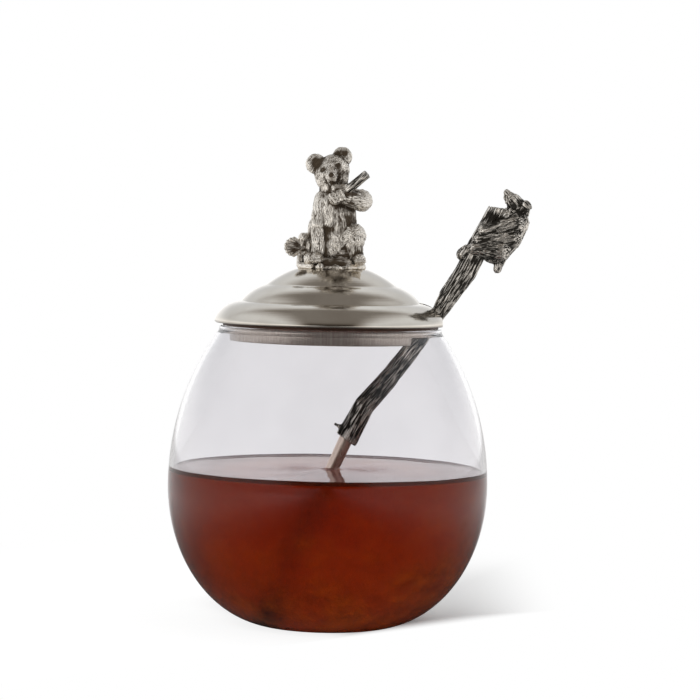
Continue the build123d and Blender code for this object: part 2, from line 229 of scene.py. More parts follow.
def bounced(wire, kind):
    """1 for a ray that has made a bounce of that kind, else 0."""
    count = wire.node("ShaderNodeLightPath", {}, {}, output=kind)
    return wire.maths("MINIMUM", count, 1.0)


air = Wire(world.node_tree)
direction = air.node("ShaderNodeTexCoord", {}, {}, output=0)
across, back, upward = direction.axis(0), direction.axis(1), direction.axis(2)
fields = across.size().between(0.3, 0.7).larger(back.between(0.35, 0.7))
overhead = upward.between(0.3, 0.95)
low = 1.0 - upward.between(0.05, 0.4)
mirrored = DIM_SIDE + overhead * CEILING + fields * (FIELD + low * FIELD_FOOT)
mirrors = bounced(air, MIRROR_BOUNCES)
spreads = bounced(air, DIFFUSE_BOUNCES)
direct = 1.0 + mirrors * (mirrored - 1.0)
strength = direct + spreads * (MATT_LEVEL - direct)
dim = mirrors * (1.0 - fields) * (1.0 - overhead * 0.5)
room = dim.blend(WHITE, paint(1, 0.84, 0.7))
room = (mirrors * fields * (1.0 - low)).blend(room, paint(0.95, 0.97, 1.0))
background = air.node("ShaderNodeBackground", {}, {0: room, 1: strength})
air.node("ShaderNodeOutputWorld", {}, {0: background})
print("world level on matt surfaces:", MATT_LEVEL)

# %% [markdown]
# One very large lamp hangs in front, a little to the left, and casts the soft shadow behind the
# pot, where it shows on the right.

# %% Lamp
LAMP_PLACE = Vector((-330, -640, 420))
LAMP_AIM = Vector((0, 0, 30))
LAMP_WIDTH = 420
LAMP_POWER = 5.0
bpy.ops.object.select_all(action="DESELECT")
bpy.ops.object.light_add(type="AREA", location=LAMP_PLACE * MM)
lamp = bpy.context.object
lamp.name = "key_lamp"
lamp.data.size = LAMP_WIDTH * MM
lamp.data.energy = LAMP_POWER
lamp.rotation_euler = (LAMP_AIM - LAMP_PLACE).to_track_quat("-Z", "Y").to_euler()
lamp.visible_glossy = False
lamp.visible_transmission = False
print("lamp width and distance in mm:", LAMP_WIDTH, round(LAMP_PLACE.length))

# %% [markdown]
# The floor is pale and plain. Near the pot it is matt and keeps the lamp's shadow, but painted
# white light, an emission mixed in by place, crops that shadow: its front edge is crisp, it fades
# out to the right, and the pot's front foot is lightened. The matt grey is also raised with
# distance, painted light in place of the lamp's falloff. Everywhere else it goes over to the plain
# white of the background, which the glass shows too. In the metal its front is dark, as the
# camera's side is, and its sides glow, a painted reflection.

# %% Floor
FLOOR_WIDTH = 6
FLOOR_GREY = 0.86
FLOOR_LIFT = 0.34
MIRRORED_DROP = 0.74
TO_THE_LAMP = (-0.75, -0.66)
OVER_THE_EDGE = (0.718, -0.695)
bpy.ops.object.select_all(action="DESELECT")
bpy.ops.mesh.primitive_plane_add(size=FLOOR_WIDTH)
floor = bpy.context.object
floor.name = "floor"
floor_finish, wire = start_finish("pale_floor")
place = object_place(wire)
right, behind = place.axis(0), place.axis(1)
mirrored_bright_part = right.size().between(0.05, 0.3).larger(behind.between(0.05, 0.4))
mirrors = bounced(wire, MIRROR_BOUNCES)
seen = (1.0 - mirrors) * (1.0 - bounced(wire, DIFFUSE_BOUNCES))
distance = (right * right + behind * behind) ** 0.5
# Painted light: the seen floor is raised with distance, in place of the lamp's falloff. In mirrors
# it is darkened outside its bright part.
level = seen * (FLOOR_LIFT + distance * 0.6) + mirrors * (mirrored_bright_part - 1.0) * MIRRORED_DROP
level = FLOOR_GREY + level
grey = wire.node("ShaderNodeCombineXYZ", {}, {0: level, 1: level, 2: level})
matt = wire.node("ShaderNodeBsdfDiffuse", {}, {"Color": grey})
white = wire.node("ShaderNodeEmission", {}, {"Color": WHITE, "Strength": 1.0})
lampward = right * TO_THE_LAMP[0] + behind * TO_THE_LAMP[1]
before = right * OVER_THE_EDGE[0] + behind * OVER_THE_EDGE[1]
# Painted light: where this mask is 1, the seen floor is plain white emission in place of the
# lamp's shadow. It crops the shadow's front edge and right side, and lightens the pot's front
# foot.
clear = distance.between(0.1, 0.26).larger(right.between(0.046, 0.09))
clear = clear.larger(before.between(0.012, 0.028))
clear = clear.larger(lampward.between(-0.02, 0.018) * 0.85)
# In mirrors the floor's bright part glows, a painted reflection.
share = seen * clear + mirrors * mirrored_bright_part * 0.5
end_finish(wire, wire.node("ShaderNodeMixShader", {}, {0: share, 1: matt, 2: white}))
give(floor, floor_finish)
print("floor side in m:", round(floor.dimensions.x, 2))

# %% [markdown]
# ## Turned pieces
# The jar, the honey, the lid and its collar are all round. Each is drawn as a half section, one
# corner after the other, by extruding a single point, and then spun round the upright axis. A
# smooth spin shows no flats in glass or polished metal.

# %% Spin a section
def turned(name, section, steps=160):
    """Draw a half section of (radius, height) corners in mm and spin it round +Z."""
    bpy.ops.object.select_all(action="DESELECT")
    bpy.ops.mesh.primitive_plane_add(size=MM)
    piece = bpy.context.object
    piece.name = name
    bpy.ops.object.mode_set(mode="EDIT")
    bpy.ops.mesh.merge(type="CENTER")
    corners = [Vector((radius, 0, height)) * MM for radius, height in section]
    bpy.ops.transform.translate(value=corners[0])
    for here, there in zip(corners, corners[1:]):
        bpy.ops.mesh.extrude_region_move(TRANSFORM_OT_translate={"value": there - here})
    bpy.ops.mesh.select_all(action="SELECT")
    bpy.ops.mesh.spin(steps=steps, angle=math.tau, center=(0, 0, 0), axis=(0, 0, 1))
    bpy.ops.mesh.select_all(action="SELECT")
    bpy.ops.mesh.remove_doubles(threshold=0.003 * MM)
    bpy.ops.mesh.normals_make_consistent(inside=False)
    bpy.ops.object.mode_set(mode="OBJECT")
    bpy.ops.object.shade_smooth()
    print(name, "faces:", len(piece.data.polygons))
    return piece


def oval(middle, width, height, start, end, steps):
    """Points on an oval, from one angle in degrees to another."""
    turns = [math.radians(start + (end - start) * i / steps) for i in range(steps + 1)]
    return [(middle[0] + width * math.cos(t), middle[1] + height * math.sin(t)) for t in turns]


def swell(start, end, bulge, steps=14):
    """Points on an arc that swells to the left of its chord by bulge."""
    a, b = Vector(start), Vector(end)
    along = (b - a).normalized()
    side = Vector((-along.y, along.x))
    chord = (b - a).length
    radius = (chord**2 / 4 + bulge**2) / (2 * bulge)
    half = math.asin(chord / 2 / radius)
    middle = (a + b) / 2 + side * (bulge - radius)
    turns = [half - 2 * half * i / steps for i in range(steps + 1)]
    points = [middle + radius * (side * math.cos(t) - along * math.sin(t)) for t in turns]
    return [tuple(p) for p in points]


# %% [markdown]
# ## Glass jar
# Blown glass is one thin shell: a flat to stand on, a full round belly, shoulders that draw in,
# and a lip that the flame has rounded. Glass needs a real wall with an inner and an outer skin,
# or light bends wrongly in it.

# %% Jar
JAR_RADIUS = 57.0
BELLY = (17.8, 50.6)
WALL = 1.6
FLOOR_WALL = 3.0
FLAT_RADIUS = 9
SHOULDER_RADIUS = 95.92
SHOULDER_TURN = 34.95
LIP = (38.9, 106.1)
LIP_ROUND = 0.85


def jar_side(inset, floor_height, top_turn=SHOULDER_TURN):
    """The jar's outside from foot to lip, set in by inset, with its foot at floor_height."""
    width = JAR_RADIUS - inset - BELLY[0]
    foot = oval(BELLY, width, BELLY[1] - floor_height, -90, 0, 44)
    middle = (JAR_RADIUS - inset - SHOULDER_RADIUS, BELLY[1])
    shoulder = oval(middle, SHOULDER_RADIUS, SHOULDER_RADIUS, 0, top_turn, 40)
    return foot + shoulder[1:]


lip = oval(LIP, LIP_ROUND, LIP_ROUND, -30, 210, 18)
outer = [(0, 0), (FLAT_RADIUS, 0)] + jar_side(0, 0)[:-1]
inner = [(0, FLOOR_WALL), (FLAT_RADIUS, FLOOR_WALL)] + jar_side(WALL, FLOOR_WALL)[:-1]
jar = turned("jar_glass", outer + lip + inner[::-1])
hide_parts("glass_jar")
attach(jar, "jar")

# %% [markdown]
# Clear glass is nearly colourless: its grey comes from what each skin throws back and from a
# faint tint in the wall.

# %% Clear glass
glass, wire = start_finish("clear_glass")
place = object_place(wire)
cloud = noise(wire, place, 60.0, 3.0)
tint = cloud.between(0.3, 0.7).blend(paint(0.866, 0.858, 0.874), paint(0.886, 0.878, 0.893))
inputs = {
    "Base Color": tint,
    "Roughness": 0.0,
    "IOR": 1.47,
    "Transmission Weight": 1.0,
    "Specular Tint": paint(0.4, 0.4, 0.4),
}
end_finish(wire, wire.node("ShaderNodeBsdfPrincipled", {}, inputs))
give(jar, glass)

# %% [markdown]
# ## Honey
# The honey fills the jar to just above the belly. Its skin runs inside the glass wall, because
# a film of air between the two would act as a mirror and hide the colour at the sides. The top
# is almost flat, with a low rise at the glass and slow swells round the spoon.

# %% Honey's shape
HONEY_LEVEL = 56.0
HONEY_INSET = 0.8
HONEY_FLOOR = 2.2
ROD_X = 1.3
level_turn = math.degrees(math.asin((HONEY_LEVEL - BELLY[1]) / SHOULDER_RADIUS))
foot = [(0, HONEY_FLOOR), (FLAT_RADIUS, HONEY_FLOOR)]
side = jar_side(HONEY_INSET, HONEY_FLOOR, level_turn + 0.35)
top_rings = [(r, HONEY_LEVEL) for r in (54.6, 53.8, 52.5)]
top_rings += [(51.5 - 0.7 * i, HONEY_LEVEL) for i in range(73)]
honey = turned("honey_fill", foot + side + top_rings + [(0, HONEY_LEVEL)])


def ripples(x, y):
    """How high the honey's top stands above its level, in mm."""
    rim = np.hypot(x, y)
    rod = np.hypot(x - ROD_X, y)
    rise = 0.45 * np.exp(-((55.4 - rim) / 0.9) ** 2) * (rim < 55.4)
    climb = 0.5 * np.exp(-((rod - 2.2) / 1.3) ** 2)
    slow = 0.06 * np.sin(x / 6.0 + 1.2 * np.sin(y / 9.0)) * np.sin(y / 5.5 + 0.8)
    near = np.exp(-((y / 9.0) ** 2)) * np.exp(-(((np.abs(x - ROD_X) - 13.0) / 8.0) ** 2))
    ring = 0.2 * near * np.sin(x / 1.3 + 2.0 * np.sin(y / 2.1)) * np.sin(y / 1.7 + x / 5.0)
    return rise + climb + slow + ring


places = np.array([v.co for v in honey.data.vertices]) / MM
on_top = places[:, 2] > HONEY_LEVEL - 0.01
raised = np.where(on_top, ripples(places[:, 0], places[:, 1]), 0.0)
places[:, 2] += raised
honey.data.vertices.foreach_set("co", (places * MM).ravel())
honey.data.update()
print("honey top moves by up to", round(float(raised.max()), 2), "mm")
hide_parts("honey")
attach(honey, "jar")

# %% [markdown]
# Honey gets its colour by taking blue and green out of the light on its way through, so the
# colour sits in the volume and not on the skin. The skin only clouds it a little, as fine
# crystals do, in random clouds. Its colour is also painted darker near the top and lighter and
# warmer towards the bottom and the right, a painted glow of the light passing through it. A
# painted dark line, a painted shade, runs where the top meets the glass, with a few pale specks
# of foam. The sides throw nothing back, since the glass already does, and the free top surface
# does. A pink matt layer, a painted reflection, dulls the top.

# %% Honey's finish
amber, wire = start_finish("honey")
TOP = HONEY_LEVEL * MM
PINK_REFLECTION_SHARE = 0.28
place = object_place(wire)
height, rightward = place.axis(2), place.axis(0)
clouds = noise(wire, place, 75.0, 4.0, (1, 1, 1.4))
# Painted glow: lighter and warmer towards the bottom and the right, mixed with random clouds.
glow_and_clouds = (height * -1.0).between(-TOP, -0.004) * 0.8 + (clouds - 0.5) * 1.5 + rightward * 3.0
veil_and_glow = glow_and_clouds.between(-0.1, 0.9).blend(paint(0.7, 0.56, 0.5), paint(1.0, 0.9, 0.6))
below = {
    "Base Color": veil_and_glow,
    "Roughness": 0.4,
    "IOR": 1.49,
    "Transmission Weight": 1.0,
    "Specular Tint": paint(0, 0, 0),
}
free = {**below, "Base Color": WHITE, "Roughness": 0.0, "Specular Tint": WHITE}
clear = wire.node("ShaderNodeBsdfPrincipled", {}, below)
# Painted shade: a dark line in the skin where the top meets the glass.
line = height.between(TOP - 0.0011, TOP - 0.0007)
near_top = height.between(TOP - 0.0045, TOP - 0.0025)
specks = noise(wire, place, 650.0, 1.0).between(0.7, 0.74) * near_top
murk_and_glow = (noise(wire, place, 120.0, 4.0, (1, 1, 1.3)) - 0.5) * 1.6 + glow_and_clouds * 0.6
skin_colour = murk_and_glow.between(0.0, 1.0).blend(paint(0.04, 0.008, 0.004), paint(0.64, 0.13, 0.004))
skin_colour = specks.blend(skin_colour, paint(0.9, 0.5, 0.25))
skin_colour = line.blend(skin_colour, paint(0.05, 0.02, 0.01))
haze_and_glow = wire.node("ShaderNodeBsdfDiffuse", {}, {"Color": skin_colour})
haze_and_glow_share = (0.1 + glow_and_clouds.between(0.3, 1.1) * 0.46).larger(specks * 0.5).larger(line * 0.75)
body = wire.node("ShaderNodeMixShader", {}, {0: haze_and_glow_share, 1: clear, 2: haze_and_glow})
mirror = wire.node("ShaderNodeBsdfPrincipled", {}, free)
# Painted reflection: a pink matt layer mixed into the top surface.
pink_reflection = wire.node("ShaderNodeBsdfDiffuse", {}, {"Color": paint(0.98, 0.44, 0.4)})
surface = wire.node("ShaderNodeMixShader", {}, {0: PINK_REFLECTION_SHARE, 1: mirror, 2: pink_reflection})
upright = wire.node("ShaderNodeNewGeometry", {}, {}, output=1).axis(2)
is_top = height.between(TOP - 0.0012, TOP - 0.0004) * upright.size().between(0.5, 0.7)
skin = wire.node("ShaderNodeMixShader", {}, {0: is_top, 1: body, 2: surface})
depth = {"Color": paint(0.825, 0.42, 0.02), "Density": 60.0}
end_finish(wire, skin, wire.node("ShaderNodeVolumeAbsorption", {}, depth))
give(honey, amber)

# %% [markdown]
# ## Lid
# The lid is spun pewter: a rolled rim, then three swelling steps up to a small flat pad. A notch
# for the spoon is cut into its right side, with rounded corners where it opens through the rim.
# The dome is turned first, since everything but the notch is round.

# %% Dome
RIM_ROUND = 0.85
UNDERSIDE = 107.9
over = [(0, 127.4), (6, 127.4), (12.9, 127.4)]
over += swell((13.2, 127.3), (23.1, 121.7), 0.45) + swell((23.1, 121.7), (32.0, 115.8), 0.8)
over += swell((32.0, 115.8), (41.35, 109.4), 1.45)
rim = oval((40.6, 108.75), RIM_ROUND, RIM_ROUND, 15, -90, 9)
under = [(39.2, UNDERSIDE), (36.5, UNDERSIDE), (36.5, 111.9)]
under += [(31.0, 114.3), (22.1, 120.2), (12.2, 125.6), (0, 125.6)]
dome = turned("lid_dome_spun", over + rim + under)

# %% [markdown]
# The notch is cut as a smith would, with punches of a few simple shapes: a round end, a straight
# slot and a flare at the rim whose corners are rounded. Each punch is a primitive that a Boolean
# takes out of the dome. Its sharp edges are broken with a narrow bevel, which catches the light.

# %% Cutting tools
def pick_up(*pieces):
    """Select these pieces and no others, and make the first of them active."""
    bpy.ops.object.select_all(action="DESELECT")
    for piece in pieces:
        piece.select_set(True)
    bpy.context.view_layer.objects.active = pieces[0]


def cut(piece, tool):
    """Take a tool's shape out of a piece, and remove the tool."""
    pick_up(piece)
    modifier = piece.modifiers.new("cut", "BOOLEAN")
    modifier.operation = "DIFFERENCE"
    modifier.solver = "EXACT"
    modifier.object = tool
    bpy.ops.object.modifier_apply(modifier=modifier.name)
    bpy.data.objects.remove(tool)


def block(name, low, high):
    """A box between two corners in mm, to cut with."""
    low, high = Vector(low) * MM, Vector(high) * MM
    bpy.ops.object.select_all(action="DESELECT")
    bpy.ops.mesh.primitive_cube_add(size=1, location=(low + high) / 2)
    tool = bpy.context.object
    tool.name = name
    tool.scale = high - low
    bpy.ops.object.transform_apply(location=True, rotation=True, scale=True)
    return tool


def soften(piece, width, angle=40, segments=3):
    """Round the sharp edges of a piece by width in mm, and shade the rest smooth."""
    pick_up(piece)
    modifier = piece.modifiers.new("round", "BEVEL")
    modifier.width = width * MM
    modifier.segments = segments
    modifier.limit_method = "ANGLE"
    modifier.angle_limit = math.radians(angle)
    bpy.ops.object.modifier_apply(modifier=modifier.name)
    bpy.ops.object.shade_smooth_by_angle(angle=math.radians(angle))


# %% Notch
NOTCH_END = 33.96
NOTCH_HALF = 6.0
FLARE_START = 34.59
FLARE_HALF = 12.51
CORNER_RADIUS = 5
PAST_THE_RIM = 45


def punch(x, y, radius, depth):
    """An upright cylinder through the dome, to cut with."""
    bpy.ops.object.select_all(action="DESELECT")
    bpy.ops.mesh.primitive_cylinder_add(
        vertices=64, radius=radius * MM, depth=depth * MM, location=(x * MM, y * MM, 115 * MM)
    )
    return bpy.context.object


cut(dome, punch(NOTCH_END, 0, NOTCH_HALF, 30))
cut(dome, block("slot", (NOTCH_END, -NOTCH_HALF, 100), (PAST_THE_RIM, NOTCH_HALF, 130)))
flare = block("flare", (FLARE_START, -FLARE_HALF, 100), (PAST_THE_RIM, FLARE_HALF, 130))
for side in (-1, 1):
    corner = side * (NOTCH_HALF + CORNER_RADIUS)
    cut(flare, punch(FLARE_START, corner, CORNER_RADIUS, 40))
cut(dome, flare)
soften(dome, 0.35)
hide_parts("lid_dome")
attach(dome, "lid")
print("dome faces:", len(dome.data.polygons))

# %% [markdown]
# The collar under the rim keeps the lid in the mouth. It is a ring in two bands with a flange
# that lies on the lip, and it stops short on the spoon's side.

# %% Collar
INSIDE = 15
RELIEF_HALF = 22.5
FLANGE_BOTTOM = 107.05
collar_section = [
    (34.7, UNDERSIDE), (38.4, UNDERSIDE), (38.4, FLANGE_BOTTOM), (37.45, 107.0), (37.3, 106.85),
    (37.3, 104.6), (37.15, 104.45), (35.9, 104.45), (35.9, 101.6), (35.65, 101.35),
    (34.9, 101.35), (34.7, 101.55), (34.7, UNDERSIDE),
]
collar = turned("lid_collar_ring", collar_section)
cut(collar, block("gap", (INSIDE, -NOTCH_HALF, 100), (PAST_THE_RIM, NOTCH_HALF, 108.5)))
cut(collar, block("relief", (INSIDE, -RELIEF_HALF, 100), (PAST_THE_RIM, RELIEF_HALF, 104.4)))
soften(collar, 0.12, angle=50, segments=2)
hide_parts("lid_collar")
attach(collar, "lid")

# %% [markdown]
# Polished pewter is a warm grey metal. It isn't a mirror: the last wheel leaves fine rings that
# spread the reflections, and old polish leaves faint cloudy stains. The seam under the rim is
# painted dark brown, a painted shade of the gap that the rim overhangs.

# %% Polished pewter
pewter, wire = start_finish("polished_pewter")
place = object_place(wire)
x, y, z = place.axis(0), place.axis(1), place.axis(2)
radius = (x * x + y * y) ** 0.5
rings = wire.node("ShaderNodeCombineXYZ", {}, {0: radius, 1: z, 2: x * 0.02})
wheel = noise(wire, rings, 2600.0, 3.0)
stains = noise(wire, place, 55.0, 4.0)
shade = stains.between(0.3, 0.75)
colour = shade.blend(paint(0.60, 0.555, 0.49), paint(0.72, 0.68, 0.61))
# Painted shade: the seam under the rim is dark brown.
seam_shade = 1.0 - z.between((UNDERSIDE + 0.1) * MM, (UNDERSIDE + 0.4) * MM)
colour = seam_shade.blend(colour, paint(0.1, 0.06, 0.04))
rough = 0.06 + wheel * 0.06 + stains * 0.08 + seam_shade * 0.3
inputs = {"Base Color": colour, "Roughness": rough, "Metallic": 1.0}
relief = {"Strength": 0.12, "Distance": 0.0002, "Height": wheel + stains * 3.0}
end_metal(wire, inputs, relief)
give(dome, pewter)

# %% [markdown]
# The collar was turned and never polished. The tool chattered, so its marks run up and down. Its
# flange, which lies under the rim, is painted dark brown there, a painted shade of the gap.

# %% Turned pewter
turned_pewter, wire = start_finish("turned_pewter")
place = object_place(wire)
x, y, z = place.axis(0), place.axis(1), place.axis(2)
turn = wire.maths("ARCTAN2", y, x)
round_it = wire.node("ShaderNodeCombineXYZ", {}, {0: turn, 1: 0.0, 2: 0.0})
marks = noise(wire, round_it, 42.0, 2.0)
pits = noise(wire, place, 900.0, 3.0)
# Painted shade: the flange under the rim is dark brown.
seam_shade = z.between((FLANGE_BOTTOM - 0.15) * MM, (FLANGE_BOTTOM + 0.05) * MM)
shade = (marks - 0.5) * 1.6 + pits * 0.6
bright = shade.between(-0.1, 0.7).blend(paint(0.64, 0.55, 0.47), paint(0.92, 0.84, 0.75))
colour = seam_shade.blend(bright, paint(0.06, 0.03, 0.02))
inputs = {"Base Color": colour, "Roughness": 0.2 + seam_shade * 0.3, "Metallic": 0.7}
relief = {"Strength": 0.25, "Distance": 0.0001, "Height": marks + pits * 0.8}
end_metal(wire, inputs, relief)
give(collar, turned_pewter)

# %% [markdown]
# ## Cast figures
# The bear, the cub, the branch and the ground are castings of hand-carved models. Round lumps
# are set where the body has its masses, as in clay. Each is a sphere whose upper half is drawn
# out and narrowed in edit mode. A voxel remesh melts them into one skin, and a few rounds of
# smoothing take out the seams. The fur and the bark are then cut into that skin by moving its
# points, since no operator carves thousands of strokes that follow each limb.

# %% Lumps
def lump(start, end, start_radius, end_radius):
    """A round-ended tapered bar between two places in mm."""
    a, b = Vector(start) * MM, Vector(end) * MM
    length = max((b - a).length, 0.01 * MM)
    bpy.ops.object.select_all(action="DESELECT")
    bpy.ops.mesh.primitive_uv_sphere_add(segments=28, ring_count=15, radius=start_radius * MM)
    bar = bpy.context.object
    for point in bar.data.vertices:
        point.select = point.co.z > 0.001 * MM
    for edge in bar.data.edges:
        edge.select = all(bar.data.vertices[i].select for i in edge.vertices)
    for face in bar.data.polygons:
        face.select = all(bar.data.vertices[i].select for i in face.vertices)
    bpy.ops.object.mode_set(mode="EDIT")
    share = end_radius / start_radius
    bpy.ops.transform.resize(value=(share,) * 3, center_override=(0, 0, 0))
    bpy.ops.transform.translate(value=(0, 0, length))
    bpy.ops.object.mode_set(mode="OBJECT")
    bar.matrix_world = Matrix.Translation(a) @ (b - a).to_track_quat("Z", "Y").to_matrix().to_4x4()
    bpy.ops.object.transform_apply(location=True, rotation=True, scale=True)
    return bar


def melt(name, bars, voxel, rounds):
    """Join bars into one piece, melt them into one skin and smooth it."""
    pick_up(*bars)
    bpy.ops.object.join()
    piece = bpy.context.object
    piece.name = name
    remesh = piece.modifiers.new("melt", "REMESH")
    remesh.mode = "VOXEL"
    remesh.voxel_size = voxel * MM
    bpy.ops.object.modifier_apply(modifier=remesh.name)
    smooth = piece.modifiers.new("smooth", "SMOOTH")
    smooth.factor = 0.5
    smooth.iterations = rounds
    bpy.ops.object.modifier_apply(modifier=smooth.name)
    bpy.ops.object.shade_smooth()
    print(name, "points:", len(piece.data.vertices))
    return piece


# %% [markdown]
# Carving works on arrays of points, since a casting has tens of thousands of them and one sum
# on an array moves them all. `chance` gives smooth random values in space: each corner of a grid
# has a value of its own, worked out from its numbers, and the values blend in between.

# %% Points and chance
def chance(places, seed=0):
    """Smooth random values from 0 to 1, one cell to the unit."""
    cell = np.floor(places).astype(np.int64)
    part = places - cell
    part = part * part * (3 - 2 * part)
    total = np.zeros(len(places))
    for corner in np.ndindex(2, 2, 2):
        at = cell + np.array(corner)
        mixed = at[:, 0] * 73856093 ^ at[:, 1] * 19349663 ^ at[:, 2] * 83492791 ^ seed * 2654435
        mixed = (mixed ^ (mixed >> 13)) * 1274126177 & 0x7FFFFFFF
        mixed = (mixed ^ (mixed >> 15)) * 668265263 & 0x7FFFFFFF
        weight = np.prod(np.where(np.array(corner) == 1, part, 1 - part), axis=1)
        total += weight * (mixed % 65536) / 65535
    return total


def points_of(piece):
    """A piece's points in mm."""
    flat = np.zeros(len(piece.data.vertices) * 3)
    piece.data.vertices.foreach_get("co", flat)
    return flat.reshape(-1, 3) / MM


def move_points(piece, places):
    """Put a piece's points at these places in mm."""
    piece.data.vertices.foreach_set("co", (places * MM).ravel())
    piece.data.update()


def normals_of(piece):
    """Which way the skin faces at each of a piece's points."""
    flat = np.zeros(len(piece.data.vertices) * 3, np.float32)
    piece.data.vertex_normals.foreach_get("vector", flat)
    return flat.reshape(-1, 3).astype(float)


# %% [markdown]
# A stroke has to follow the limb it lies on, so `along_limbs` tells for each point which limb is
# nearest and where on that limb it lies. `spread` evens out values over the skin, which finds
# the hollows: where the even skin lies above the real one, dirt gathers. `store` keeps what the
# carving learns, for the finish to read.

# %% Limbs and hollows
def spread(piece, values, rounds):
    """Even out values over a piece's skin by averaging along its edges."""
    ends = np.zeros(len(piece.data.edges) * 2, np.int64)
    piece.data.edges.foreach_get("vertices", ends)
    first, second = ends[0::2], ends[1::2]
    count = len(piece.data.vertices)
    degree = np.bincount(first, minlength=count) + np.bincount(second, minlength=count)
    for _ in range(rounds):
        columns = []
        for column in values.T:
            total = np.bincount(first, column[second], count)
            total += np.bincount(second, column[first], count)
            columns.append(0.5 * column + 0.5 * total / np.maximum(degree, 1))
        values = np.array(columns).T
    return values


NEXT_PATTERN = 17.3


def along_limbs(places, limbs, joined):
    """For each point, its place on the nearest limb: two ways across it and one along it.
    Joined limbs are one bar, and the way along them runs on from each to the next. Others are
    set far apart in the noise, so that no two of them carry the same strokes."""
    best = np.full(len(places), 1e9)
    on_limb = np.zeros((len(places), 3))
    run = 0.0
    for number, (start, end, start_radius, end_radius) in enumerate(limbs):
        a, b = np.array(start, float), np.array(end, float)
        length = max(np.linalg.norm(b - a), 0.01)
        axis = (b - a) / length
        front = np.array([0.0, -1.0, 0.0]) + 0.01
        front -= axis * front.dot(axis)
        front /= np.linalg.norm(front)
        third = np.cross(axis, front)
        away = places - a
        reach = away @ axis
        share = np.clip(reach / length, 0, 1)
        gap = np.linalg.norm(away - np.outer(share * length, axis), axis=1)
        gap -= start_radius + (end_radius - start_radius) * share
        near = gap < best
        best = np.where(near, gap, best)
        place = np.stack([away @ front, away @ third, reach + run], 1)
        place += 0.0 if joined else number * NEXT_PATTERN
        on_limb[near] = place[near]
        run += length if joined else 0.0
    return on_limb


def store(piece, name, values):
    """Keep one value, or one place, for each point of a piece."""
    kind = "FLOAT_VECTOR" if values.ndim == 2 else "FLOAT"
    attribute = piece.data.attributes.new(name, kind, "POINT")
    key = "vector" if values.ndim == 2 else "value"
    attribute.data.foreach_set(key, values.astype(np.float32).ravel())


# %% [markdown]
# A stroke is noise drawn out along the limb: narrow across it and several times longer along it.
# Folded at its middle value, the noise turns into rounded locks with sharp valleys between them,
# which is how a carver cuts fur and bark. The dark of the bath stays in three kinds of low
# place: in a stroke, in a hollow between two lumps, and in a wide valley such as the lap.

# %% Carve strokes
HOLLOW_ROUNDS = 40
VALLEY_ROUNDS = 260
VALLEY_WIDER = 2.4
FOLD_POWER = 0.7
FOLD_MIDDLE = 0.55


def carve(piece, limbs, cuts, gather=0.5, joined=False, swing=3.0, tones=(), wide=0.5):
    """Cut strokes into a piece. Each cut has a width, a length and a depth in mm. Each tone
    has a place, a radius and how much dark is added there, the bath's dark or a painted shadow,
    or taken away if negative. Gather is how deep a hollow is in mm when it is fully dark, swing
    is how much strokes wander, and wide is how much dark the valleys keep."""
    places = points_of(piece)
    normals = normals_of(piece)
    even = spread(piece, places, HOLLOW_ROUNDS)
    hollow = np.clip(((even - places) * normals).sum(1) / gather, -1, 1)
    broad = spread(piece, even, VALLEY_ROUNDS)
    valley = ((broad - places) * normals).sum(1) / (VALLEY_WIDER * gather)
    valley = np.clip(valley, -0.7, 1)
    busy = 0.45 + 0.9 * chance(places / 4.0, 8)
    on_limb = along_limbs(places, limbs, joined)
    sway = np.stack([chance(places / 3.0, 5), chance(places / 3.0, 6)], 1) - 0.5
    sway = np.column_stack([sway * swing, np.zeros(len(places))])
    height = np.zeros(len(places))
    total = 0.0
    for seed, (width, length, depth) in enumerate(cuts):
        stretched = (on_limb + sway * width) / (width, width, length)
        fold = np.abs(2 * chance(stretched, seed) - 1) ** FOLD_POWER
        height += (fold - FOLD_MIDDLE) * depth
        total += depth
    height *= busy * (1.0 - np.clip(hollow, 0, 1) * 0.5)
    move_points(piece, places + normals * height[:, None])
    dark = 0.5 + 0.4 * hollow + wide * valley - 0.95 * height / total
    for middle, radius, amount in tones:
        away = np.linalg.norm(places - np.array(middle), axis=1) / radius
        dark += np.where(away < 1, (1 - away**2) * amount, 0)
    store(piece, "hollow", np.clip(dark, 0, 1.3))
    store(piece, "lie", on_limb * MM)
    print(piece.name, "triangles:", sum(len(f.vertices) - 2 for f in piece.data.polygons))


# %% [markdown]
# ## Bear
# The bear sits upright with its head tipped to one side and one paw at its mouth, and holds a
# stick in that arm. Its lumps stand where the exact solid has its limbs, with more of them for
# the face, the palm, the toes and the chest. Its ears are spheres pressed to half their depth.

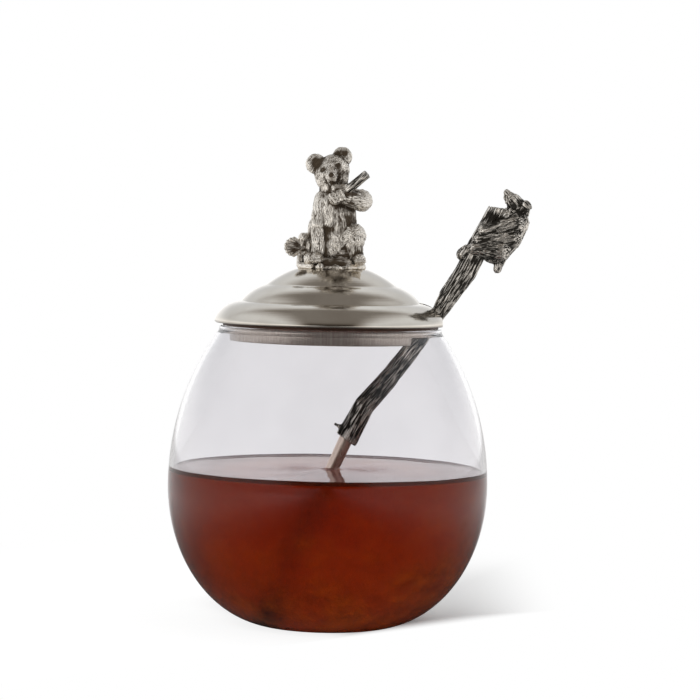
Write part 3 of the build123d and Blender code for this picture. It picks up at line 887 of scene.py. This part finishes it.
# %% Bear's lumps
VOXEL = 0.25
bear_limbs = {
    "belly": ((1.0, 1.0, 137.0), (0.9, 0.2, 147.0), 8.4, 7.4),
    "chest": ((0.9, 0.2, 147.0), (1.0, -0.6, 152.2), 7.2, 5.9),
    "breast": ((-1.6, -3.0, 144.0), (-0.6, -3.2, 151.5), 4.6, 4.2),
    "shoulders": ((-2.4, 0, 151.8), (4.8, 0, 152.4), 3.8, 3.8),
    "neck": ((0.4, -0.6, 153.5), (0.0, -1.2, 158.0), 5.4, 5.2),
    "head": ((-1.2, -1.3, 161.0), (0.2, -1.3, 162.9), 5.7, 5.5),
    "crown": ((-2.9, -1.2, 163.4), (1.9, -1.2, 165.3), 3.3, 3.3),
    "right_cheek": ((-3.3, -2.6, 158.9), (-3.1, -2.6, 161.0), 3.0, 2.8),
    "left_cheek": ((2.4, -2.8, 159.8), (2.5, -2.4, 162.4), 3.1, 2.8),
    "muzzle": ((-0.9, -4.6, 161.6), (-0.8, -8.0, 160.0), 3.0, 2.1),
    "chin": ((-0.5, -5.0, 158.8), (-0.4, -7.2, 158.2), 2.1, 1.5),
    "nose": ((-1.1, -9.9, 160.7), (-0.5, -9.9, 160.8), 1.15, 1.15),
    "right_foreleg": ((-3.4, -2.2, 152.0), (-4.6, -4.2, 143.0), 3.5, 3.4),
    "right_foreleg_low": ((-4.6, -4.2, 143.0), (-5.0, -6.2, 132.8), 3.1, 2.5),
    "right_forepaw": ((-5.1, -6.6, 131.6), (-5.5, -8.9, 131.2), 2.7, 2.1),
    "left_palm": ((0.9, -8.9, 156.0), (3.9, -8.8, 156.2), 1.6, 1.6),
    "left_hand": ((3.2, -8.6, 154.2), (0.7, -8.9, 152.4), 2.5, 2.2),
    "left_upper_arm": ((5.2, -0.8, 153.0), (10.1, -3.4, 152.0), 3.7, 4.0),
    "left_forearm": ((10.2, -4.4, 151.3), (4.8, -8.0, 152.9), 3.4, 2.7),
    "left_forepaw": ((4.8, -8.2, 153.1), (2.5, -8.8, 153.9), 2.7, 2.3),
    "right_haunch": ((-4.6, 2.0, 137.6), (-4.6, 1.0, 142.6), 4.5, 4.2),
    "left_thigh": ((3.6, -1.6, 136.6), (7.4, -3.8, 139.4), 4.9, 4.6),
    "left_knee": ((7.6, -4.2, 140.4), (8.0, -5.2, 137.6), 3.6, 3.5),
    "left_shin": ((7.6, -5.0, 136.4), (8.4, -4.8, 132.0), 3.4, 2.9),
    "left_foot": ((8.8, -3.4, 131.4), (9.9, -9.0, 131.0), 2.6, 2.2),
    "right_foot": ((-5.6, -1.0, 131.4), (-8.0, -6.4, 131.1), 2.6, 2.2),
    "seat": ((-2.0, -2.0, 132.6), (4.6, -2.4, 132.8), 4.4, 4.6),
    "lap": ((-0.6, -1.6, 141.0), (-0.4, -2.8, 134.0), 4.8, 4.6),
    "tail": ((1.5, 8.0, 133.7), (1.5, 10.4, 134.7), 2.4, 1.9),
    "right_ear_root": ((-4.6, -1.0, 164.3), (-4.4, -1.0, 164.6), 2.5, 2.5),
    "left_ear_root": ((2.9, -1.0, 165.9), (2.9, -1.0, 166.2), 2.7, 2.7),
}
FINGER_STEP = 1.15
for toe in range(4):
    side = toe - 1.5
    bear_limbs[f"left_toe_{toe}"] = (
        (9.9 + side * 0.95, -9.8, 131.2), (10.1 + side * 1.05, -11.3, 130.5), 0.75, 0.5
    )
    bear_limbs[f"right_toe_{toe}"] = (
        (-5.5 + side * 0.9, -9.9, 131.0), (-5.6 + side * 1.0, -11.2, 130.4), 0.75, 0.5
    )
    bear_limbs[f"finger_{toe}"] = (
        (-0.9 + toe * FINGER_STEP, -11.0, 153.7 + toe * 0.5),
        (0.9 + toe * FINGER_STEP, -11.4, 151.0 + toe * 0.5), 0.8, 0.6
    )
bear_ears = {"right_ear": ((-6.4, -1.0, 164.7), 3.8), "left_ear": ((2.9, -1.0, 167.3), 3.7)}
EAR_DEPTH = 0.5

bars = [lump(*limb) for limb in bear_limbs.values()]
for (x, y, z), radius in bear_ears.values():
    ear = lump((x, y, z), (x, y + 0.01, z), radius, radius)
    for point in ear.data.vertices:
        point.co.y = y * MM + (point.co.y - y * MM) * EAR_DEPTH
    bars.append(ear)
bear = melt("bear_casting", bars, VOXEL, 5)

# %% [markdown]
# The face is carved before the fur: two small pits with a bead of an eye in each, cupped ears,
# and the line of the mouth. A dent is pressed with a round tool, and a groove is a row of dents.

# %% Bear's face
def press(piece, middle, radius, depth, facing):
    """Press a round dent into a piece, or raise a round bump with a negative depth."""
    places = points_of(piece)
    away = np.linalg.norm(places - np.array(middle), axis=1) / radius
    dent = np.where(away < 1, (1 - away**2) ** 2, 0) * depth
    direction = np.array(Vector(facing).normalized())
    move_points(piece, places - dent[:, None] * direction)


def groove(piece, start, end, width, depth, facing, dents=7):
    """Press a short groove between two places, as a row of dents that overlap."""
    for i in range(dents):
        middle = Vector(start).lerp(Vector(end), i / (dents - 1))
        press(piece, middle, width, depth / 3, facing)


EAR_HOLLOWS = (-6.7, -2.4, 165.1), (3.1, -2.4, 168.0)
EYES = (-4.0, -6.0, 162.5), (1.6, -6.2, 164.2)
BEAD_SUNK = 0.5
for middle in EAR_HOLLOWS:
    press(bear, middle, 2.9, 0.55, (0, -1, 0))
for x, y, z in EYES:
    press(bear, (x, y, z), 1.25, 0.7, (0, -1, 0.1))
    press(bear, (x, y + BEAD_SUNK, z), 0.55, -0.5, (0, -1, 0.1))
groove(bear, (-2.5, -8.2, 158.9), (1.2, -8.2, 159.3), 0.7, 0.8, (0, -1, -0.2))
groove(bear, (-0.8, -9.6, 160.1), (-0.7, -9.1, 159.1), 0.5, 0.5, (0, -1, 0))
print("eyes, mm apart:", round((Vector(EYES[0]) - Vector(EYES[1])).length, 1))

# %% [markdown]
# The fur is two sets of strokes, one coarse and one fine. The bath's dark stays longest at the
# eyes, the nose and the mouth, and under the paw. The bridge of the nose, the breast, the knee
# and the feet stand out, so the cloth rubs them bright, and so it does the tips of the claws.

# %% Bear's fur
CLAW_TONE = -2.2
bear_tones = [
    ((-4.1, -6.4, 162.9), 0.9, 0.35), ((1.3, -6.8, 164.2), 1.2, 0.6),
    ((-1.4, -6.6, 163.8), 2.0, -0.6),
    ((-0.8, -11.0, 160.7), 1.35, 1.3), ((-0.6, -8.8, 158.6), 1.2, 0.8),
    ((-3.4, -4.8, 157.0), 3.4, -0.7), ((6.4, -9.0, 155.4), 2.6, 0.6),
    ((6.0, -9.5, 150.0), 2.4, 0.45), ((4.6, -6.5, 138.0), 5.5, -0.3),
    ((-0.5, -6.8, 136.5), 4.5, -0.35), ((-1.8, -6.5, 142.0), 2.2, 0.25),
    ((-1.4, -8.0, 146.4), 4.2, -0.5), ((-5.8, -5.5, 150.0), 3.6, -0.4),
    ((11.6, -5.0, 152.2), 4.2, -0.45), ((9.6, -6.0, 141.2), 2.6, -0.5),
    ((-1.0, -8.5, 160.3), 2.4, -0.55), ((-5.6, -8.0, 137.0), 4.0, -0.25),
    ((9.6, -9.5, 131.2), 2.6, -0.5), ((-6.8, -2.8, 165.0), 2.4, 0.1),
    ((3.1, -2.8, 167.8), 2.4, 0.1), ((1.4, -11.4, 152.6), 2.9, 1.1),
]
for finger in range(4):
    for down in (0.3, 1.3, 2.3):
        across = -0.9 + finger * FINGER_STEP + down * 0.67
        bear_tones.append(((across, -11.9, 153.7 + finger * 0.5 - down), 0.85, CLAW_TONE))
fur = [(0.95, 3.4, 0.3), (0.5, 2.2, 0.26)]
carve(bear, list(bear_limbs.values()), fur, tones=bear_tones, wide=0.75)
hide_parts("bear")
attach(bear, "lid")

# %% [markdown]
# ## Ground, root and leaf
# The bear sits on a patch of ground with roots round it. The roots are lumps that bend over a
# thin round plate, and a ring of small lumps makes the plate's edge uneven.

# %% Ground
ground_limbs = [
    ((-5.0, -1.5, 128.5), (6.0, -1.5, 128.5), 2.4, 2.4),
    ((-4.0, 4.0, 128.5), (5.0, 4.0, 128.5), 2.6, 2.2),
    ((2.0, -6.0, 128.4), (7.0, -5.0, 128.5), 2.0, 2.1),
    ((-10.8, 1.2, 128.8), (-11.0, 1.2, 135.5), 1.9, 1.6),
    ((-11.0, 1.2, 135.5), (-10.2, 0.2, 138.3), 1.7, 2.0),
    ((-9.6, 0.0, 138.6), (-7.5, 0.6, 138.9), 1.8, 1.6),
    ((-8.4, 0.5, 137.0), (-8.5, 0.5, 133.6), 1.7, 1.3),
    ((-7.6, -6.6, 128.8), (-9.6, -1.4, 133.0), 1.2, 0.9),
    ((-3.0, -7.6, 129.6), (5.4, -7.8, 129.6), 2.0, 2.0),
    ((-11.6, -3.2, 128.9), (-11.4, -0.6, 133.4), 0.95, 0.9),
    ((-11.6, -3.2, 128.9), (-7.6, -6.6, 128.8), 1.0, 1.1),
    ((10.6, 2.5, 128.6), (7.5, 8.5, 128.6), 1.5, 1.2),
    ((-8.5, 6.5, 128.6), (-3.0, 10.4, 128.6), 1.5, 1.1),
    ((5.6, -10.0, 128.4), (10.2, -6.4, 128.5), 1.0, 1.2),
    ((-5.0, -10.4, 128.3), (1.5, -11.2, 128.2), 0.9, 0.7),
    ((-10.9, -4.0, 128.4), (-7.0, -9.0, 128.4), 1.2, 1.1),
]
EDGE_LUMPS = 13
for step in range(EDGE_LUMPS):
    turn = math.tau * step / EDGE_LUMPS
    out = 10.9 + 0.5 * math.sin(step * 2.3)
    place = (out * math.cos(turn), out * math.sin(turn), 128.3 + 0.3 * math.sin(step * 1.7))
    ground_limbs.append((place, place, 1.35, 1.35))
bars = [lump(*limb) for limb in ground_limbs]
PLATE_RADIUS = 11.2
PLATE_THICKNESS = 1.3
PLATE_MIDDLE = 128.08
bpy.ops.object.select_all(action="DESELECT")
bpy.ops.mesh.primitive_cylinder_add(
    vertices=72, radius=PLATE_RADIUS * MM, depth=PLATE_THICKNESS * MM,
    location=(0, 0, PLATE_MIDDLE * MM)
)
bars.append(bpy.context.object)
bpy.ops.object.transform_apply(location=True, rotation=True, scale=True)
ground = melt("ground_casting", bars, VOXEL, 2)
ground_tones = [
    ((-9.5, -6.0, 129.8), 4.0, -0.55), ((-10.6, -2.0, 134.0), 2.6, -0.35),
    ((8.5, -8.0, 128.6), 4.0, -0.5), ((0.5, -9.5, 129.5), 4.5, 0.35),
]
roots = [(1.5, 3.5, 0.3), (0.7, 2.0, 0.15)]
carve(ground, ground_limbs, roots, tones=ground_tones, wide=0.7)
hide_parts("finial_base")
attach(ground, "lid")

# %% [markdown]
# The leaf is a fan of eight ribs that start together at the root, so each rib is one lump and
# the valleys between them come by themselves.

# %% Leaf
RIBS = 8
leaf_limbs = []
for rib in range(RIBS):
    turn = math.radians(95 + rib * 24)
    tip = (-13.3 + 3.1 * math.cos(turn), -0.8, 135.1 + 2.9 * math.sin(turn))
    leaf_limbs.append(((-9.6, 0.3, 135.2), tip, 0.7, 0.8))
leaf = melt("leaf_casting", [lump(*limb) for limb in leaf_limbs], 0.17, 1)
carve(leaf, leaf_limbs, [(1.5, 6.0, 0.05)], gather=0.14)
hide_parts("finial_base")
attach(leaf, "lid")

# %% [markdown]
# The stick is one short bar that leaves the paw upwards and outwards. A carver ends such a bar
# with a saw cut, so its round end is flattened.

# %% Stick
def flat_end(piece, middle, facing, rough):
    """Flatten what stands beyond a plane in mm, and leave a rough cut."""
    places = points_of(piece)
    way = np.array(Vector(facing).normalized())
    beyond = (places - np.array(middle)) @ way - rough * chance(places / 0.9, 9)
    move_points(piece, places - np.clip(beyond, 0, None)[:, None] * way)


STICK_FOOT = Vector((3.34, -8.34, 154.2))
STICK_WAY = Vector((0.735, -0.22, 0.62)).normalized()
STICK_LENGTH = 11.0
stick_end = STICK_FOOT + STICK_WAY * STICK_LENGTH
stick_limbs = [(tuple(STICK_FOOT), tuple(stick_end), 1.65, 1.6)]
stick = melt("stick_casting", [lump(*stick_limbs[0])], 0.2, 2)
flat_end(stick, tuple(stick_end + STICK_WAY * 0.3), tuple(STICK_WAY), 0.2)
carve(stick, stick_limbs, [(0.8, 3.5, 0.16)])
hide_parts("bear_stick")
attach(stick, "lid")

# %% [markdown]
# ## Branch and cub
# The handle is a branch: knotty, a little crooked and thicker at both ends, with a snag at its
# foot, where the rod goes in. One bar runs from each drawn point to the next. Its bark runs
# lengthwise in deep grooves, so its bars are carved as one long limb.

# %% Branch
BARK_VOXEL = 0.22
branch_points = [
    (6.56, 67.2, 4.1), (12.6, 78.8, 3.75), (20.45, 87.9, 3.5), (28.3, 98.2, 3.15),
    (35.6, 107.6, 2.5), (38.7, 113.3, 2.75), (41.9, 118.6, 3.5), (44.2, 122.2, 3.7),
    (47.6, 127.3, 4.0), (52.3, 137.2, 3.95), (58.2, 149.3, 3.3),
]
branch_limbs = []
for (x0, z0, r0), (x1, z1, r1) in zip(branch_points, branch_points[1:]):
    branch_limbs.append(((x0, 0, z0), (x1, 0, z1), r0, r1))
knot = ((46.6, -1.2, 133.7), (48.0, -1.6, 134.9), 2.5, 2.4)
snag = ((5.2, 0, 70.6), (2.4, 0, 72.0), 1.2, 0.5)
bars = [lump(*limb) for limb in branch_limbs + [knot, snag]]
branch = melt("branch_casting", bars, BARK_VOXEL, 3)

HANDLE_WAY = Vector((0.5736, 0, 0.8192))
flat_end(branch, (58.0, 0, 150.0), (0.12, 0, 1), 0.7)
flat_end(branch, (6.4, 0, 67.0), -HANDLE_WAY, 0.5)
bark = [(0.5, 12.0, 0.42), (0.9, 16.0, 0.2)]
# Painted shadow: the first bark tone darkens the branch where the cub meets its top.
bark_tones = [((57.0, -3.9, 146.8), 3.2, 0.9), ((50.5, -4.0, 131.5), 2.6, 0.35)]
carve(branch, branch_limbs, bark, gather=0.35, joined=True, swing=0.4, tones=bark_tones)
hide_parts("branch_handle")
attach(branch, "spoon")

# %% [markdown]
# The cub hangs on the branch's upper end with all four legs round it and lifts its head over
# the top. It leans with the handle, so its lumps are placed along the handle and out from it, in
# hundredths of the cub's length.

# %% Cub
BRANCH_TOP = Vector((57.99, 0, 149.36))
OUTWARD = Vector((0.8192, 0, -0.5736))
HUNDREDTH = 0.29


def on_cub(up, out, sideways):
    """A place of the cub in mm, from hundredths of its length above the branch's end."""
    return BRANCH_TOP + (HANDLE_WAY * up + OUTWARD * out + Vector((0, sideways, 0))) * HUNDREDTH


cub_plan = [
    ((-37, 26, 0), (-18, 27.5, 0), 20.5, 21.0),
    ((-18, 27.5, 0), (0, 25, 0), 21.0, 20.5),
    ((4, 24, 0), (19, 23, 0), 16, 12),
    ((20, 21, 0), (23, 10, 0), 11, 9),
    ((23, 10, 0), (25.5, -2.5, 0), 8.2, 4.4),
    ((16, 12, 0), (20.5, -0.5, 0), 5.5, 3.2),
    ((0, 28, -14), (-28, 2, -11.5), 12.0, 7.5),
    ((0, 28, 14), (-28, 2, 11.5), 12.0, 7.5),
    ((-36, 33, -13), (-54, 5, -12), 12.5, 8.0),
    ((-36, 33, 13), (-54, 5, 12), 12.5, 8.0),
    ((-14, 33, -10), (-42, 8, -7), 14.5, 12.0),
    ((-43, 39, -3), (-57, 43.5, -4), 7.0, 5.4),
    ((27.5, 25, -8), (27, 28, -9), 5.6, 5.2),
    ((27.5, 25, 8), (27, 28, 9), 5.6, 5.2),
]
cub_limbs = []
for start, end, start_size, end_size in cub_plan:
    ends = tuple(on_cub(*start)), tuple(on_cub(*end))
    cub_limbs.append((*ends, start_size * HUNDREDTH, end_size * HUNDREDTH))
cub = melt("cub_casting", [lump(*limb) for limb in cub_limbs], VOXEL, 4)
# Painted shadow: the first tone darkens the cub where it meets the top of the branch.
cub_tones = [
    ((57.6, -4.5, 146.2), 3.2, 0.9), ((58.4, -5.0, 139.4), 4.4, -0.6),
    ((55.0, -5.5, 132.0), 2.6, 0.4), ((66.0, -4.5, 149.6), 1.6, 0.5),
    ((62.9, -2.6, 152.9), 0.9, 0.6), ((52.4, -4.5, 142.8), 1.9, -0.5),
    ((68.2, -3.5, 142.6), 3.0, -0.5), ((64.8, -4.0, 137.0), 3.0, -0.25),
    ((61.8, -2.0, 153.6), 1.6, -0.4), ((58.8, -2.5, 129.6), 2.0, -0.25),
    ((61.0, -6.5, 141.5), 3.4, -0.2), ((49.8, -4.5, 135.6), 1.6, -0.3),
]
carve(cub, cub_limbs, [(0.7, 4.2, 0.36), (0.42, 2.6, 0.26)], tones=cub_tones, wide=0.7)
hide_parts("climbing_cub")
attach(cub, "spoon")

# %% [markdown]
# Antique pewter is dipped in a dark bath and then rubbed: the dark stays in the hollows and the
# ridges are bright again. The carving kept how hollow each point is, and the finish reads that.
# Finer hairs than the mesh can hold come from noise that follows the limbs, and two sizes of
# cloud make the rubbing uneven. The bark was rubbed less than the fur, and its dark is deeper.

# %% Antique pewter
def antique(name, dark_share, cloud_scale, bath, fine, drawn):
    """Dark hollows and rubbed ridges. A larger dark_share leaves less of it bright, fine is how
    much the hairs show, and a smaller drawn makes them longer."""
    finish, wire = start_finish(name)
    place = object_place(wire)
    hollow = wire.node("ShaderNodeAttribute", {"attribute_name": "hollow"}, {}, output=2)
    lie = wire.node("ShaderNodeAttribute", {"attribute_name": "lie"}, {}, output=1)
    hairs = noise(wire, lie, 2100.0, 1.0, (1, 1, drawn)).between(0.36, 0.64)
    patches = noise(wire, place, cloud_scale, 3.0)
    clouds = noise(wire, place, cloud_scale * 3.0, 2.0)
    uneven = (patches - 0.5) + (clouds - 0.5) * 0.8
    dark = hollow * 1.05 + (0.5 - hairs) * fine + uneven + dark_share
    dirt = dark.between(0.2, 0.95)
    inputs = {
        "Base Color": dirt.blend(paint(0.85, 0.795, 0.715), bath),
        "Roughness": 0.18 + dirt * 0.36,
        "Metallic": 1.0 - dirt * 0.35,
    }
    end_metal(wire, inputs, {"Strength": 0.4 + fine * 0.5, "Distance": 0.0003, "Height": hairs})
    return finish


FUR_BATH = paint(0.06, 0.042, 0.026)
BARK_BATH = paint(0.018, 0.015, 0.011)
fur_finish = antique("antique_pewter", 0.17, 140.0, FUR_BATH, fine=0.28, drawn=0.2)
bark_finish = antique("antique_pewter_bark", 0.37, 120.0, BARK_BATH, fine=0.85, drawn=0.1)
for piece in (bear, ground, leaf):
    give(piece, fur_finish)
for piece in (stick, branch, cub):
    give(piece, bark_finish)

# %% [markdown]
# ## The solids that stay
# The rod with its bowl, the screw and the washer are plain turned shapes, so the exact solids
# are shown and only get a finish. The rod is polished along its length.

# %% Rod, screw and washer
def plain_metal(name, dark, light, rough, stretch):
    """A worked metal with fine marks drawn out one way."""
    finish, wire = start_finish(name)
    place = object_place(wire)
    marks = noise(wire, place, 1500.0, 2.0, stretch)
    stains = noise(wire, place, 90.0, 3.0)
    shade = (stains * 0.6 + marks * 0.4).between(0.3, 0.7)
    inputs = {
        "Base Color": shade.blend(dark, light), "Roughness": rough + marks * 0.1, "Metallic": 1.0
    }
    end_metal(wire, inputs, {"Strength": 0.15, "Distance": 0.0001, "Height": marks})
    return finish


WARM_DARK, WARM_LIGHT = paint(0.68, 0.54, 0.45), paint(0.85, 0.71, 0.61)
GREY_DARK, GREY_LIGHT = paint(0.45, 0.44, 0.42), paint(0.6, 0.59, 0.57)
rod_finish = plain_metal("spoon_steel", WARM_DARK, WARM_LIGHT, 0.24, stretch=(1, 1, 0.1))
screw_finish = plain_metal("screw_steel", GREY_DARK, GREY_LIGHT, 0.25, stretch=(1, 1, 1))
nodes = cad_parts
give(nodes["spoon_shank"], rod_finish)
give(nodes["finial_screw"], screw_finish)
give(nodes["finial_washer"], screw_finish)
